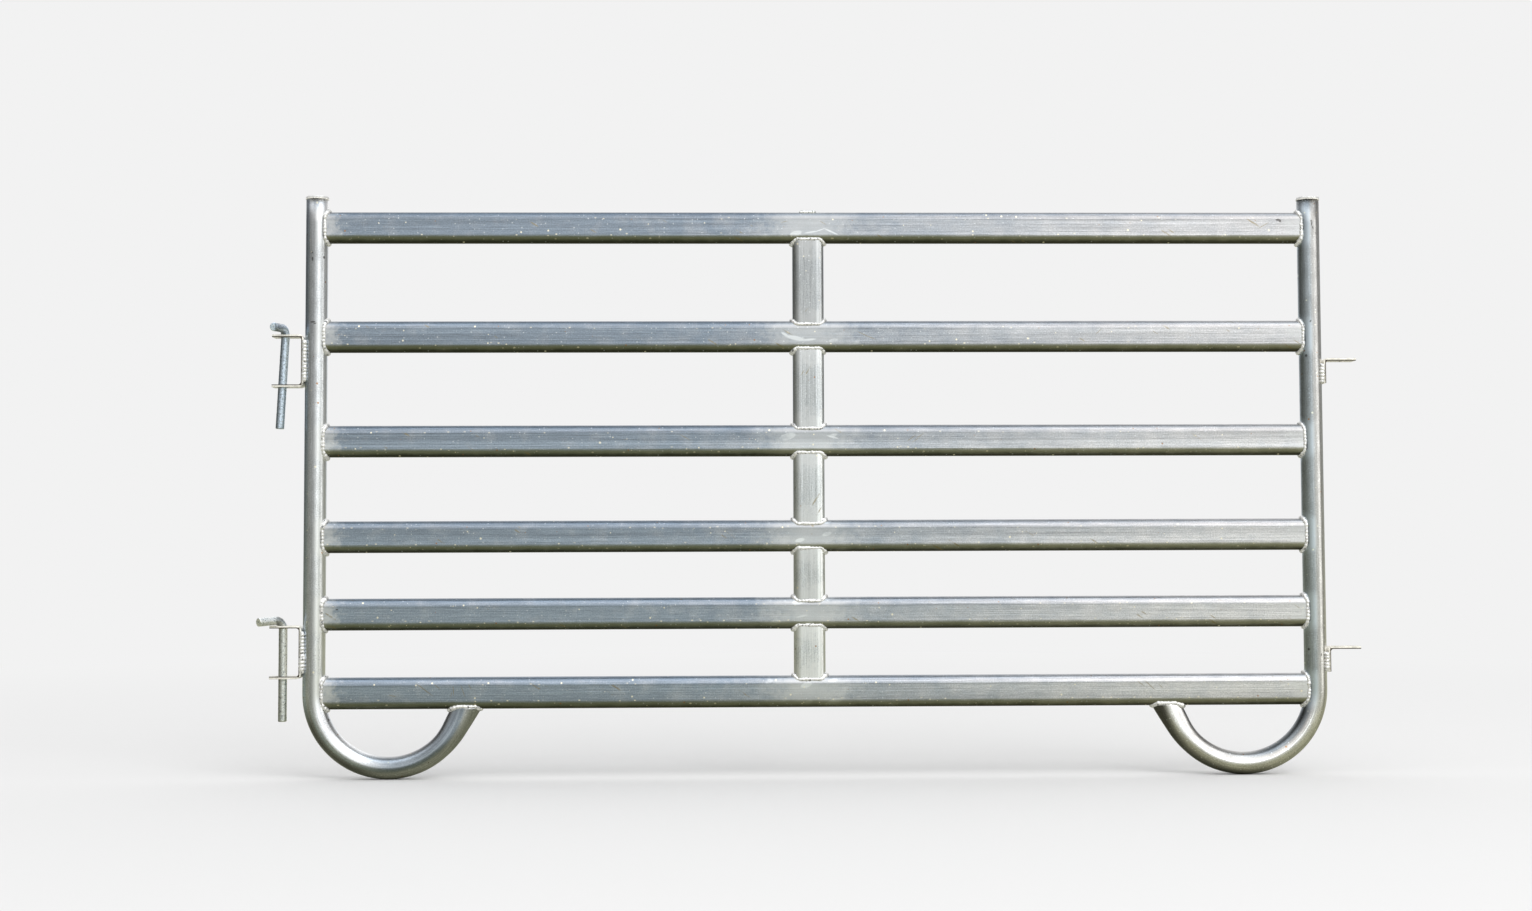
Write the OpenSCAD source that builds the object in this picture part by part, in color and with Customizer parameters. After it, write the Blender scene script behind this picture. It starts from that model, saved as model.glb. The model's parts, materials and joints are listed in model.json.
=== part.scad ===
// Sheep panel: a galvanised frame of oval rails between two round uprights, bent at the foot into skids.
// Two drop pins hang in brackets on the left upright. Two lugs on the right upright take the next panel's pins.
// Millimetres. X runs along the panel, +Y to the back, Z up. The origin is on the ground, midway between the
// uprights, in the middle plane of the frame.

/* [Uprights] */
// Distance between the centre lines of the two uprights
post_pitch = 1900; // [1300:10:2400]
// Outside diameter of the upright tube
post_d = 42; // [38:1:50]
// Wall thickness of the upright tube
post_wall = 2.6; // [1.5:0.1:4]
// Height of the uprights above the top rail
post_rise = 25; // [15:1:80]
// Thickness of the disc that closes the top of an upright
cap_t = 5; // [3:0.5:10]
// Distance that the cap stands out all round its upright
cap_overhang = 0.6; // [0.4:0.1:5]

/* [Skid feet] */
// Radius of the foot's bend, to the middle of the tube
skid_r = 141; // [115:1:160]
// Angle through which the foot is bent
skid_bend = 150; // [130:1:155]
// Width of a foot's squashed end under the bottom rail, in the panel's plane
skid_end_w = 50; // [44:1:52]

/* [Rails] */
// Height of the flat-sided oval tube of the rails and stays
rail_h = 60; // [50:1:76]
// Thickness of the oval tube, from flat side to flat side
rail_t = 30; // [24:1:34]
// Wall thickness of the oval tube
rail_wall = 1.6; // [1.2:0.1:3]
// Clear height between the ground and the bottom rail
ground_gap = 131; // [125:1:200]
// Clear gap between the first and second rails, counted from the ground
gap_1 = 88; // [60:1:200]
// Clear gap between the second and third rails
gap_2 = 86; // [60:1:200]
// Clear gap between the third and fourth rails
gap_3 = 121; // [60:1:250]
// Clear gap between the fourth and fifth rails
gap_4 = 139; // [60:1:250]
// Clear gap between the fifth rail and the top rail
gap_5 = 149; // [60:1:250]
// Distance of the centre stays from the middle of the panel, positive towards the lugs
stay_offset = -15; // [-200:1:200]

/* [Couplings] */
// Height of the lower coupling above the ground
coupling_z = 239; // [215:1:300]
// Height between the lower and upper couplings
coupling_pitch = 550; // [300:5:700]
// Distance from the face of an upright to the axis of its pins or lug holes
coupling_reach = 40; // [32:1:50]
// Width of the flat bar of the brackets and lugs
bar_w = 30; // [28:1:40]
// Thickness of the flat bar
bar_t = 5; // [3:0.5:8]
// Outside radius of the bends in the flat bar
bar_bend_r = 10; // [9:0.5:14]
// Height of a pin bracket over its two flanges
bracket_h = 100; // [70:1:140]
// Distance that a pin bracket reaches out from its upright
bracket_reach = 60; // [54:1:80]
// Distance that a lug reaches out from its upright
lug_reach = 63; // [54:1:80]
// Height of a lug, which is welded to the upright by its hanging leg
lug_h = 48; // [35:1:80]
// Diameter of the hole in a lug
lug_hole_d = 18; // [17:0.5:20]

/* [Drop pins] */
// Diameter of the drop pins
pin_d = 16; // [12:0.5:17]
// Amount by which the bracket holes are larger than the pin
pin_play = 6; // [2:0.5:7]
// Radius of the bend between shank and handle, to the middle of the bar
pin_bend_r = 17; // [14:0.5:24]
// Length of the straight shank below the bend
pin_shank = 173; // [150:1:220]
// Reach of the handle, from the axis of the shank to its end
pin_handle = 57; // [45:1:90]
// Angle by which the handle droops below square
pin_droop = 3; // [0:0.5:5]
// Turn of the upper handle, from straight out at the front towards the free side
upper_pin_turn = 11; // [0:1:60]
// Turn of the lower handle, from straight out at the front towards the free side
lower_pin_turn = 40; // [0:1:60]

/* [Welds] */
// Size of the weld beads between tubes
weld = 5; // [3:0.5:6]
// Radius of the heavier beads that hold the brackets and lugs
bar_weld_r = 5; // [4:0.5:6]
// Height by which a stay's open end laps up the rail's rounded edge
stay_lap = 7; // [3:0.5:9]
// Height by which a skid's cut end laps up the bottom rail's rounded edge
skid_lap = 4; // [2:0.5:8]
// Length of the pad of weld on the top rail, above the stays
pad_l = 34; // [15:1:60]
// Height of the pad
pad_h = 4; // [2:0.5:6]

/* [Hidden] */
$fn = 64;

// Clearance between a pin and the edge of its hole, and between the bend and the flange that it rests on
run_clear = 0.35;
seat_clear = 0.3;
// Gap at the root of the weld between a flat bar and the round upright
root_gap = 0.1;
// Chamfer on the ends of the pins and round the top of the caps
pin_chamfer = 1;
cap_round = 1.5;
// Length by which cutting shapes run past what they cut
past = 20;
// A straight piece runs this far into its bend, and is this much slimmer, so that no two faces lie together
bend_lap = 1;
bend_step = 0.02;
// Where along the skid's tail its squashed end starts, and how far its round edges lie inside its flats there
squash_start = 6;
squash_step = 0.3;

post_r = post_d / 2;
pin_r = pin_d / 2;
gaps = [gap_1, gap_2, gap_3, gap_4, gap_5];
rail_count = len(gaps) + 1;
function rail_z(i) = i == 1 ? ground_gap + rail_h / 2 : rail_z(i - 1) + rail_h + gaps[i - 2];
top_rail_z = rail_z(rail_count);
post_top = top_rail_z + rail_h / 2 + post_rise;
post_x = post_pitch / 2;
post_face = post_x + post_r;
bar_face = post_face + root_gap;
skid_z = skid_r + post_r;
skid_lean = 180 - skid_bend;

// Height of a coupling: 0 is the lower one and 1 is the upper one
function coupling_height(i) = coupling_z + i * coupling_pitch;
pin_hole_r = pin_r + pin_play / 2;
pin_x = -(post_face + coupling_reach);
// The upper pin leans until it is stopped by both of its holes, and the lower pin stands straight in them
pin_push = pin_hole_r - pin_r - run_clear;
upper_pin_lean = atan(pin_push / (bracket_h / 2));

// Direction of a handle in plan, turned from the front (-Y) towards the free side (-X)
function handle_way(turn) = [-sin(turn), -cos(turn)];
// How far up its shank's line a pin's bend starts, measured from the middle of the bracket. The bend comes
// to rest on the edge of the upper flange's hole, so each point of that edge is met by the bend's inner side.
function pin_rise(offset, way, lean) = max([
    for (t = [0 : 5 : 355])
        let (
            rim = pin_hole_r * [cos(t), sin(t)],
            from_axis = [(rim[0] - offset[0]) * cos(lean), rim[1] - offset[1]],
            ahead = from_axis * way,
            aside = from_axis * [-way[1], way[0]],
            rim_height = rim[0] * sin(lean) + bracket_h / 2 * cos(lean)
        )
        ahead > 0 && abs(aside) < pin_r
            ? rim_height - bend_height(ahead, sqrt(pow(pin_r, 2) - pow(aside, 2)))
            : 0
]);
// Height of the bend's inner side over its start, at a distance ahead of the shank, for half a bar's thickness
function bend_height(ahead, half) =
    sqrt(max(0, pow(pin_bend_r - half - seat_clear, 2) - pow(pin_bend_r - ahead, 2)));

// Flat-sided oval, upright, grown outwards by the given amount
module oval(grow = 0) {
    square([rail_t + 2 * grow, rail_h - rail_t], center = true);
    for (side = [-1, 1])
        translate([0, side * (rail_h - rail_t) / 2])
            circle(d = rail_t + 2 * grow);
}

// Bar of the rail's outside section along X, from x0 to x1
module oval_bar(x0, x1, z, grow = 0) {
    translate([x0, 0, z])
        rotate([90, 0, 90])
            linear_extrude(x1 - x0)
                oval(grow);
}

// Upright bar of the stay's outside section between two heights
module stay_bar(z0, z1, grow = 0) {
    translate([stay_offset, 0, z0])
        linear_extrude(z1 - z0)
            rotate(90)
                oval(grow);
}

module post_bar(z0, z1, grow = 0) {
    translate([-post_x, 0, z0])
        cylinder(r = post_r + grow, h = z1 - z0);
}

// The skid's straight tail, from short of its bend's end up past the bottom rail's underside. Its end is
// squashed from both faces to the rail's thickness, so it is wider there in the panel's plane: two flats
// close in on the round tube, and a leaning round edge comes out on either side.
module skid_tail(r, back = bend_lap) {
    climb = ground_gap + skid_lap - skid_z + skid_r * sin(skid_bend);
    tail_l = climb / cos(skid_lean);
    squash_l = tail_l - squash_start;
    over_l = skid_end_w * tan(skid_lean);
    grow = r - post_r;
    flat_lean = atan((post_r - rail_t / 2) / squash_l);
    edge_x = post_r - rail_t / 2 - squash_step;
    edge_lean = atan(((skid_end_w - rail_t) / 2 - edge_x) / squash_l);
    translate([-post_x + skid_r - skid_r * cos(skid_bend), 0, skid_z - skid_r * sin(skid_bend)])
        rotate([0, skid_lean, 0]) {
            difference() {
                translate([0, 0, -back])
                    cylinder(r = r, h = back + tail_l + over_l);
                for (side = [0, 1])
                    mirror([0, side, 0])
                        translate([-post_d, post_r + grow, squash_start])
                            rotate([flat_lean, 0, 0])
                                translate([0, 0, -past])
                                    cube([2 * post_d, post_d, past + squash_l + over_l + past]);
            }
            for (side = [0, 1])
                mirror([side, 0, 0])
                    translate([edge_x, 0, squash_start])
                        rotate([0, edge_lean, 0])
                            translate([0, 0, -bend_lap])
                                cylinder(
                                    r = rail_t / 2 - squash_step + grow,
                                    h = bend_lap + squash_l + over_l
                                );
        }
}

// Everything above the level at which the skid's tail is cut off
module above_skid_cut() {
    translate([-post_x + post_d, -post_d, ground_gap + skid_lap])
        cube([3 * skid_r, 2 * post_d, 2 * rail_h]);
}

// Half-round foot of the left upright, which sweeps a section from the straight tube to the start of the tail
module skid_bow(angle = skid_bend) {
    translate([-post_x + skid_r, 0, skid_z])
        rotate([90, 180, 0])
            rotate_extrude(angle = angle)
                translate([skid_r, 0])
                    children();
}

// What rail i meets at the left upright: straight tube, and for the bottom rail the start of the bend too
module post_at_rail(i, grow = 0) {
    z = rail_z(i);
    if (z - rail_h < skid_z) {
        post_bar(skid_z, z + rail_h, grow);
        skid_bow(60)
            circle(r = post_r + grow);
    } else {
        post_bar(z - rail_h, z + rail_h, grow);
    }
}

// Left upright: straight tube, half-round skid and the tail, coped and cut level under the bottom rail
module left_upright() {
    color("lightgray") {
        difference() {
            post_bar(skid_z, post_top);
            post_bar(skid_z - past, post_top + past, -post_wall);
        }
        skid_bow()
            difference() {
                circle(r = post_r);
                circle(r = post_r - post_wall);
            }
        difference() {
            skid_tail(post_r - bend_step);
            skid_tail(post_r - post_wall + bend_step, past);
            oval_bar(-post_x + skid_r, stay_offset, rail_z(1));
            above_skid_cut();
        }
    }
}

module right_upright() {
    mirror([1, 0, 0])
        left_upright();
}

// Disc with a rounded rim, welded over the upright's open top
module left_post_cap() {
    cap_r = post_r + cap_overhang;
    color("gainsboro")
    translate([-post_x, 0, post_top])
        rotate_extrude() {
            square([cap_r - cap_round, cap_t]);
            square([cap_r, cap_t - cap_round]);
            translate([cap_r - cap_round, cap_t - cap_round])
                intersection() {
                    circle(r = cap_round);
                    square(cap_round);
                }
        }
}

module right_post_cap() {
    mirror([1, 0, 0])
        left_post_cap();
}

// Rail of oval tube, coped at both ends to the round uprights
module rail(i) {
    z = rail_z(i);
    color("silver")
    difference() {
        oval_bar(-post_x, post_x, z);
        oval_bar(-post_x - past, post_x + past, z, -rail_wall);
        for (side = [0, 1])
            mirror([side, 0, 0])
                post_at_rail(i);
    }
}

// Short stay between rail i and the next one up, coped over the rails' rounded edges
module centre_stay(i) {
    low = rail_z(i) + rail_h / 2;
    high = low + gaps[i - 1];
    color("lightgray")
    difference() {
        stay_bar(low - stay_lap, high + stay_lap);
        stay_bar(low - past, high + past, -rail_wall);
        for (k = [i, i + 1])
            oval_bar(stay_offset - rail_h, stay_offset + rail_h, rail_z(k));
    }
}

// Quarter of a bend in flat bar, from the back face (at X = 0) to the leg's outer face (at Y = 0)
module bar_bend() {
    translate([bar_bend_r, -bar_bend_r])
        difference() {
            intersection() {
                circle(r = bar_bend_r);
                translate([-bar_bend_r, 0])
                    square(bar_bend_r);
            }
            circle(r = bar_bend_r - bar_t);
        }
}

// Flat bar bent to an L in the X-Y plane: a leg out from the upright and a leg down its face
module bar_angle(reach, drop) {
    bar_bend();
    translate([bar_bend_r, -bar_t])
        square([reach - bar_bend_r, bar_t]);
    translate([0, -drop])
        square([bar_t, drop - bar_bend_r]);
}

// Profile of flat bar, given its width and stood against the right upright's face
module stand_bar() {
    translate([bar_face, bar_w / 2, 0])
        rotate([90, 0, 0])
            linear_extrude(bar_w)
                children();
}

// U bracket on the left upright, with a hole in each flange for the drop pin
module pin_bracket(i) {
    color("whitesmoke")
    translate([0, 0, coupling_height(i)])
        mirror([1, 0, 0])
            difference() {
                stand_bar()
                    for (side = [0, 1])
                        mirror([0, side])
                            translate([0, bracket_h / 2])
                                bar_angle(bracket_reach - root_gap, bracket_h / 2);
                translate([post_face + coupling_reach, 0, -bracket_h])
                    cylinder(r = pin_hole_r, h = 2 * bracket_h);
            }
}

// L lug on the right upright, level with the middle of the pin brackets
module lug(i) {
    color("whitesmoke")
    translate([0, 0, coupling_height(i)])
        difference() {
            stand_bar()
                translate([0, bar_t / 2])
                    bar_angle(lug_reach - root_gap, lug_h);
            translate([post_face + coupling_reach, 0, -past])
                cylinder(d = lug_hole_d, h = 2 * past);
        }
}

// Round bar with a chamfered end, from the origin along +Z
module bar_end(length, r = pin_r) {
    rotate_extrude()
        polygon([
            [0, 0],
            [r, 0],
            [r, length - pin_chamfer],
            [r - pin_chamfer, length],
            [0, length],
        ]);
}

// Drop pin, its bend starting at the origin: the shank hangs below and the handle points to the front
module drop_pin() {
    sweep = 90 + pin_droop;
    straight = (pin_handle - pin_bend_r * (1 - cos(sweep))) / sin(sweep);
    rotate([180, 0, 0])
        bar_end(pin_shank);
    translate([0, -pin_bend_r, 0])
        rotate([90, 0, 90])
            rotate_extrude(angle = sweep)
                translate([pin_bend_r, 0])
                    circle(r = pin_r);
    translate([0, -pin_bend_r + pin_bend_r * cos(sweep), pin_bend_r * sin(sweep)])
        rotate([sweep, 0, 0])
            translate([0, 0, -bend_lap / 2])
                bar_end(straight + bend_lap / 2, pin_r - bend_step);
}

// The upper pin leans across its holes, with the top towards the upright
module upper_pin() {
    rise = pin_rise([pin_push, 0], handle_way(upper_pin_turn), upper_pin_lean);
    color("silver")
    translate([pin_x, 0, coupling_height(1)])
        rotate([0, upper_pin_lean, 0])
            translate([0, 0, rise])
                rotate(-upper_pin_turn)
                    drop_pin();
}

// The lower pin stands straight, against the side of its holes that is nearest to the upright
module lower_pin() {
    offset = [pin_push, 0];
    rise = pin_rise(offset, handle_way(lower_pin_turn), 0);
    color("silver")
    translate([pin_x + offset[0], offset[1], coupling_height(0) + rise])
        rotate(-lower_pin_turn)
            drop_pin();
}

// Pairs of distances by which two joined tubes are grown, which round the bead's section in steps
bead_steps = [for (t = [20, 45, 70]) weld * [cos(t), sin(t)]];

// Bead round the end of rail i at the left upright: what both grown tubes share, less the tubes
module rail_end_weld(i) {
    z = rail_z(i);
    difference() {
        for (g = bead_steps)
            intersection() {
                post_at_rail(i, g[0]);
                oval_bar(-post_x, -post_x + post_d, z, g[1]);
            }
        post_at_rail(i);
        oval_bar(-post_x - past, -post_x + post_d + past, z);
    }
}

module left_rail_welds() {
    color("white")
    for (i = [1 : rail_count])
        rail_end_weld(i);
}

module right_rail_welds() {
    mirror([1, 0, 0])
        left_rail_welds();
}

// Bead round the foot of the stay that stands on rail i
module stay_end_weld(i) {
    z = rail_z(i);
    top = z + rail_h / 2;
    difference() {
        for (g = bead_steps)
            intersection() {
                oval_bar(stay_offset - rail_h, stay_offset + rail_h, z, g[0]);
                stay_bar(top - stay_lap - weld + 1, top + rail_t, g[1]);
            }
        oval_bar(stay_offset - rail_h - past, stay_offset + rail_h + past, z);
        stay_bar(top - stay_lap, top + rail_t + past);
    }
}

// The same bead at the head of a stay, under the next rail up
module stay_head_weld(i) {
    translate([0, 0, 2 * rail_z(i)])
        mirror([0, 0, 1])
            stay_end_weld(i);
}

module stay_welds() {
    color("white") {
        for (i = [1 : rail_count - 1])
            stay_end_weld(i);
        for (i = [2 : rail_count])
            stay_head_weld(i);
    }
}

// Bead round the skid's cut end, under the bottom rail
module left_skid_weld() {
    difference() {
        for (g = bead_steps)
            intersection() {
                oval_bar(-post_x + post_d, stay_offset, rail_z(1), g[0]);
                skid_tail(post_r + g[1]);
                translate([-post_x + post_d, -2 * post_d, ground_gap - past])
                    cube([3 * skid_r, 4 * post_d, past + skid_lap + weld - 1]);
            }
        oval_bar(-post_x, stay_offset + past, rail_z(1));
        difference() {
            skid_tail(post_r);
            above_skid_cut();
        }
    }
}

module skid_welds() {
    color("white")
    for (side = [0, 1])
        mirror([side, 0, 0])
            left_skid_weld();
}

// Upright bead between a flat bar and the right upright, at the front and at the back of the bar
module bar_welds(z0, z1) {
    difference() {
        for (side = [-1, 1])
            translate([post_face - post_r / 7, side * bar_w / 2, 0]) {
                translate([0, 0, z0 + bar_weld_r])
                    cylinder(r = bar_weld_r, h = z1 - z0 - 2 * bar_weld_r);
                for (z = [z0, z1 - 2 * bar_weld_r])
                    translate([0, 0, z + bar_weld_r])
                        sphere(r = bar_weld_r);
            }
        translate([bar_face, -bar_w / 2, z0 - past])
            cube([bar_t, bar_w, z1 - z0 + 2 * past]);
        translate([post_x, 0, z0 - past])
            cylinder(r = post_r, h = z1 - z0 + 2 * past);
    }
}

module bracket_welds() {
    color("white")
    mirror([1, 0, 0])
        for (i = [0, 1])
            translate([0, 0, coupling_height(i)])
                bar_welds(bar_bend_r - bracket_h / 2, bracket_h / 2 - bar_bend_r);
}

module lug_welds() {
    color("white")
    for (i = [0, 1])
        translate([0, 0, coupling_height(i) + bar_t / 2])
            bar_welds(-lug_h, -bar_bend_r);
}

// Thin fillet round each upright, under the cap's overhang
module cap_welds() {
    color("white")
    for (side = [-1, 1])
        translate([side * post_x, 0, post_top])
            rotate_extrude()
                polygon([
                    [post_r, 0],
                    [post_r + cap_overhang, 0],
                    [post_r, -cap_overhang],
                ]);
}

// Low pad of weld on the top rail, over the stays, with sloping ends
module top_rail_pad() {
    top = top_rail_z + rail_h / 2;
    color("white")
    difference() {
        translate([stay_offset, rail_t / 5, top])
            rotate([90, 0, 0])
                linear_extrude(2 * rail_t / 5)
                    polygon([
                        [-pad_l / 2, -pad_h],
                        [pad_l / 2, -pad_h],
                        [pad_l / 2, 0],
                        [pad_l / 2 - pad_h, pad_h],
                        [-pad_l / 2 + pad_h, pad_h],
                        [-pad_l / 2, 0],
                    ]);
        oval_bar(stay_offset - pad_l, stay_offset + pad_l, top_rail_z);
    }
}

left_upright();
right_upright();
left_post_cap();
right_post_cap();
rail(1);  // rail_1
rail(2);  // rail_2
rail(3);  // rail_3
rail(4);  // rail_4
rail(5);  // rail_5
rail(6);  // rail_6
centre_stay(1);  // centre_stay_1
centre_stay(2);  // centre_stay_2
centre_stay(3);  // centre_stay_3
centre_stay(4);  // centre_stay_4
centre_stay(5);  // centre_stay_5
pin_bracket(1);  // upper_pin_bracket
pin_bracket(0);  // lower_pin_bracket
lug(1);  // upper_lug
lug(0);  // lower_lug
upper_pin();
lower_pin();
left_rail_welds();
right_rail_welds();
stay_welds();
skid_welds();
bracket_welds();
lug_welds();
cap_welds();
top_rail_pad();
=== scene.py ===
"""Sheep panel of galvanised steel: oval rails, round uprights on bent skid feet, drop pins and lugs."""

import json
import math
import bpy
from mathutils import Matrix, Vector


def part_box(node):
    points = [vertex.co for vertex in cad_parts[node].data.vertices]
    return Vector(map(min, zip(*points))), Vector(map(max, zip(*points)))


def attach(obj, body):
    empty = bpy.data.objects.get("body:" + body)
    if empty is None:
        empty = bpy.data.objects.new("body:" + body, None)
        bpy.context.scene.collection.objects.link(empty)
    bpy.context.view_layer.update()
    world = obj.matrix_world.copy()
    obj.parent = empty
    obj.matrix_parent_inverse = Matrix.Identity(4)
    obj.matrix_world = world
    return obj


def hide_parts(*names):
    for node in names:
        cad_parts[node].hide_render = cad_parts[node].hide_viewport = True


bl_info = {
    "name": "Sheep panel",
    "version": (1, 0, 0),
    "blender": (4, 5, 0),
    "location": "3D View > Sidebar > Sheep panel",
    "description": "Dresses the sheep panel's steelwork in zinc, welds and wear, and sets its stage",
    "category": "Object",
}

from functools import partial

import bmesh
import bpy
from bpy.props import FloatProperty, FloatVectorProperty, PointerProperty
from mathutils import Matrix, Vector, noise

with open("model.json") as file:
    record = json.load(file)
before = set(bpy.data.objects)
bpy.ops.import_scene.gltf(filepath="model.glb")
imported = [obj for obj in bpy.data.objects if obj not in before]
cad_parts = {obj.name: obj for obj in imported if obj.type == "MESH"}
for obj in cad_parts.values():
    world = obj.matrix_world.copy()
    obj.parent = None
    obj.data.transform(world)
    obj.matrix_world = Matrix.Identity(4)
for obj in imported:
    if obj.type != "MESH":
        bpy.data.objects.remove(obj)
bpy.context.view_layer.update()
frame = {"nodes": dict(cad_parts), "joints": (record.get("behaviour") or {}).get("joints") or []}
MM = 0.001

# Sizes that the steelwork was drawn to, in metres
POST_X = 0.950
POST_R = 0.021
POST_TOP = 1.099
SKID_R = 0.141
SKID_Z = SKID_R + POST_R
SKID_LEAN = math.radians(30)
SKID_TAIL = 0.0502
SKID_END_HALF_W = 0.025
SKID_END_HALF_T = 0.015
SQUASH_REACH = 0.05
RING_STEP = 0.005
RAIL_HALF_H = 0.030
RAIL_HALF_T = 0.015
FLAT_HALF = RAIL_HALF_H - RAIL_HALF_T
STAY_X = -0.015
STAY_LAP = 0.007
SKID_LAP = 0.004
CAP_R = 0.0216
CAP_T = 0.005
COUPLING_Z = (0.239, 0.789)
COUPLING_X = 1.011
BAR_HALF_W = 0.015
BAR_T = 0.005
PIN_R = 0.008
PIN_CHAMFER = 0.001
PIN_BEND_R = 0.017
PIN_PUSH = 0.00265
PIN_SHANK = 0.173
PIN_HANDLE = 0.057
PIN_SWEEP = math.radians(93)
UPPER_PIN_TURN = math.radians(11)
LOWER_PIN_TURN = math.radians(40)

# A bead beside a bracket's or lug's web: how deep in the post's outer face, and its ends from the coupling
BRACKET_BEAD = (0.0018, -0.040, 0.040)
LUG_BEAD = (0.003, -0.0455, -0.0075)

# How uneven a bead is, as shares of its radius, and how far it spreads onto a post's skin
RIPPLE_SHARE = 0.10
LUMP_SHARE = 0.34
POST_SPREAD = 0.0026

# The photograph's viewpoint, and where the floor fades into the backdrop and ends, in metres
CAMERA_AT = (-0.1853, -3.8033, 0.4141)
CAMERA_TURNS = ((-1.339, "Z"), (90 + 2.917, "X"), (-0.206, "Z"))
FLOOR_FADE = (1.6, 5.0)
FLOOR_R = 400

RAILS = [f"rail_{i}" for i in range(1, 7)]
STAYS = [f"centre_stay_{i}" for i in range(1, 6)]
RAIL_Z = [(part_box(rail)[0][2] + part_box(rail)[1][2]) / 2 for rail in RAILS]

# Where the rails' flat sides meet the posts
RAIL_END_X = POST_X - math.sqrt(POST_R**2 - RAIL_HALF_T**2)


# Colours and nodes ------------------------------------------------------------------------------------------


def linear(colour):
    """A six-digit sRGB hex colour as linear RGBA."""
    parts = [int(colour[i : i + 2], 16) / 255 for i in (1, 3, 5)]
    return (*[c / 12.92 if c <= 0.04045 else ((c + 0.055) / 1.055) ** 2.4 for c in parts], 1.0)


def cool(grey):
    """A linear grey turned a little blue, as zinc in shade is."""
    return (0.90 * grey, grey, 1.09 * grey, 1.0)


def add(tree, kind, inputs=(), out=0, stops=(), **settings):
    """Adds a node with its settings, stops and links, and returns one of its outputs, if it has any.

    Its inputs are values and links, in order or by name or number. A kind may end in its operation."""
    kind, *operation = kind.split(".")
    node = tree.nodes.new("ShaderNode" + kind)
    for name in operation:
        node.operation = name
    for name, value in settings.items():
        setattr(node, name, value)
    for key, value in inputs.items() if isinstance(inputs, dict) else enumerate(inputs):
        if isinstance(value, bpy.types.NodeSocket):
            tree.links.new(value, node.inputs[key])
        else:
            node.inputs[key].default_value = value
    for k, (place, shown) in enumerate(stops):
        elements = node.color_ramp.elements
        stop = elements[k] if k < 2 else elements.new(place)
        stop.position = place
        stop.color = shown if isinstance(shown, tuple) else (shown, shown, shown, 1)
    return node.outputs[out] if node.outputs else node


def colour_property(name, description, default):
    """A colour that the panel offers, given as sRGB hex."""
    return FloatVectorProperty(
        name=name, description=description, default=linear(default), size=4, min=0, max=1, subtype="COLOR"
    )


def length_property(name, description, default, high=0.02):
    """A length that the panel offers, in metres."""
    return FloatProperty(name=name, description=description, default=default, min=0, max=high, unit="LENGTH")


class SheepPanelZinc(bpy.types.PropertyGroup):
    """Colours of the zinc and of what lies on it."""

    # On the rails, dull and bright are the two ends of a painted sheen that lightens towards the lugs
    dull: colour_property("Dull zinc", "Weathered blue-grey zinc on the rails", "#8A949F")
    bright: colour_property("Bright zinc", "Zinc rubbed bright, towards the lugs", "#C9C7C7")
    stay: colour_property("Stay zinc", "Zinc on the centre stays", "#B0B3B5")
    stay_worn: colour_property("Worn stay zinc", "Rubbed zinc on the centre stays", "#C4C5C4")
    post: colour_property("Post zinc", "Zinc on the left upright", "#CBCCCD")
    # Painted shade: the right upright's zinc is set darker than the left's, standing in for less light on it
    far_post_shaded: colour_property("Far post zinc", "Duller zinc on the right upright", "#B0AEAB")
    cap: colour_property("Cap zinc", "Zinc on the post caps", "#E6E6E4")
    bar: colour_property("Bar zinc", "Chalky zinc on the brackets", "#FBF8EE")
    lug: colour_property("Lug zinc", "Chalky zinc on the lugs", "#F0ECE0")
    pin: colour_property("Pin zinc", "Worn blue-grey zinc on the upper pin", "#B9C4D0")
    low_pin: colour_property("Lower pin zinc", "Greyer zinc on the lower pin", "#CFD1CE")
    bead: colour_property("Bead zinc", "Thick chalky zinc on the weld beads", "#F6F5F2")
    heat: colour_property("Heat zone", "Cloudy zinc beside a weld", "#CCCCCB")
    seam: colour_property("Tube seam", "Bright line of a tube's own seam", "#E8E8E4")
    nick: colour_property("Nick", "Small bright nicks", "#E4E6E6")
    # Painted shade: the olive that darkens the rails' lower edges
    olive_painted_shade: colour_property("Grime", "Olive film under the rails", "#807F58")
    crust: colour_property("Crust", "Cream specks of dried splash", "#F4EBD2")
    scratch: colour_property("Scratch", "Brownish scratches", "#8F805A")
    rust: colour_property("Rust", "Spots of rust", "#A2764E")
    pit: colour_property("Pit", "Dark pits in the zinc", "#4A4642")


class SheepPanelWelds(bpy.types.PropertyGroup):
    """Sizes of the weld beads."""

    radius: length_property("Bead radius", "Radius of a bead between tubes", 4.0 * MM)
    heavy: length_property("Heavy bead radius", "Radius of a bead on a bracket, a lug or a foot", 4.9 * MM)
    ripple: length_property("Ripple pitch", "Distance from one ripple to the next", 6.5 * MM)
    lump: length_property("Lump size", "Size of the uneven lumps along a bead", 14 * MM, 0.05)
    step: length_property("Step", "Distance between the sections of a bead", 1.3 * MM)


class SheepPanelStage(bpy.types.PropertyGroup):
    """Camera, floor and light."""

    backdrop: colour_property("Backdrop", "Colour of the background", "#F2F2F2")
    floor: colour_property("Floor", "Colour of the floor", "#E6E6E6")
    turf: colour_property("Turf", "Colour of the ground as the metal mirrors it", "#9C9D85")
    key: FloatProperty(
        name="Key lamp", description="Power of the large lamp", default=230, min=0, unit="POWER"
    )
    side: FloatProperty(
        name="Side lamp", description="Power of the lamp beside the lugs", default=4.5, min=0, unit="POWER"
    )
    ambient: FloatProperty(name="Ambient", description="Soft light on matt surfaces", default=1.0, min=0)
    surround: FloatProperty(
        name="Surround", description="Brightness of what the metal mirrors", default=2.5, min=0
    )
    lens: FloatProperty(
        name="Lens", description="Focal length on a 36 mm sensor", default=46.997, min=10, unit="CAMERA"
    )


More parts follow.
